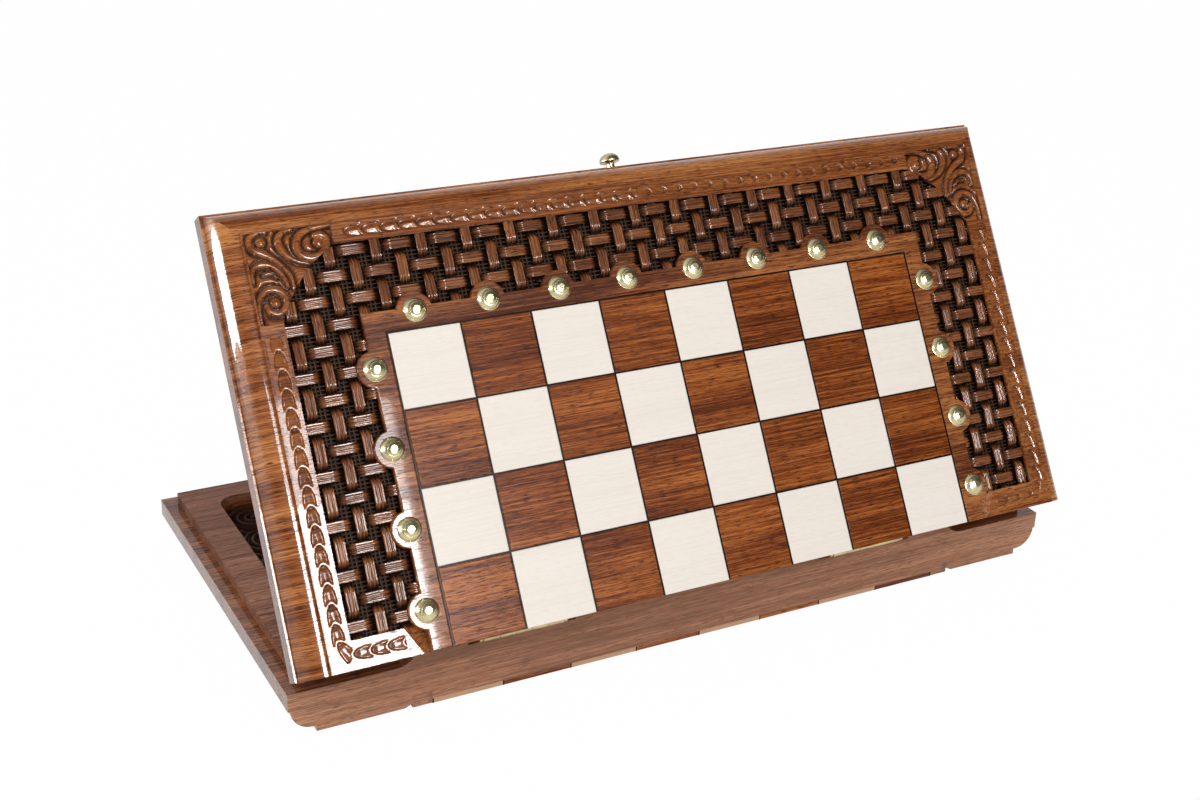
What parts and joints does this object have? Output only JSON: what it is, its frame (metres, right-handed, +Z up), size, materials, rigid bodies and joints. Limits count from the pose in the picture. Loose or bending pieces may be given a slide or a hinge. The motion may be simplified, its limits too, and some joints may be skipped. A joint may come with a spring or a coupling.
{
  "type": "folding game box",
  "caption": "Hinged wooden game box: chessboard with carved woven border outside, backgammon trays inside, brass tacks, butt hinges and pull knob.",
  "frame": {"origin": "middle of the bottom of the whole box as it stands open, at the level of the tack heads it stands on", "axes": "+X along the hinge line, +Z up, +Y from the hinge side to the far side of the lower tray"},
  "size_m": [0.5944, 0.3278, 0.3102],
  "materials": {
    "walnut": "lacquered walnut, glossy outside and satin on the rim",
    "walnut_inlay": "glossy dark walnut",
    "walnut_carving": "carved and lacquered walnut over a stained ground",
    "maple": "glossy pale maple",
    "ebony_line": "black dyed veneer line",
    "brass": "bright pale brass"
  },
  "bodies": {
    "lower_tray": {"lower_board": "walnut", "lower_light_squares": "maple", "lower_dark_squares": "walnut_inlay", "lower_stringing": "ebony_line", "lower_border_strip": "walnut_inlay", "lower_wicker_panel": "walnut_carving", "lower_leaf_bands": "walnut_carving", "lower_corner_scrolls": "walnut_carving", "lower_tacks": "brass", "lower_light_points": "maple", "lower_dark_points": "walnut_inlay", "lower_end_panels": "walnut_carving", "left_hinge_lower_leaf": "brass", "left_hinge_pin": "brass", "left_hinge_lower_screws": "brass", "right_hinge_lower_leaf": "brass", "right_hinge_pin": "brass", "right_hinge_lower_screws": "brass"},
    "upper_tray": {"upper_board": "walnut", "upper_light_squares": "maple", "upper_dark_squares": "walnut_inlay", "upper_stringing": "ebony_line", "upper_border_strip": "walnut_inlay", "upper_wicker_panel": "walnut_carving", "upper_leaf_bands": "walnut_carving", "upper_corner_scrolls": "walnut_carving", "upper_tacks": "brass", "upper_light_points": "maple", "upper_dark_points": "walnut_inlay", "upper_end_panels": "walnut_carving", "left_hinge_upper_leaf": "brass", "left_hinge_upper_screws": "brass", "right_hinge_upper_leaf": "brass", "right_hinge_upper_screws": "brass", "pull_knob": "brass"}
  },
  "joints": [
    {"name": "lid_hinge", "type": "hinge", "parent": "lower_tray", "child": "upper_tray", "pos_m": [0, -0.12934, 0.0451], "axis": [1, 0, 0], "range_deg": [-58.5, 121.5]}
  ]
}
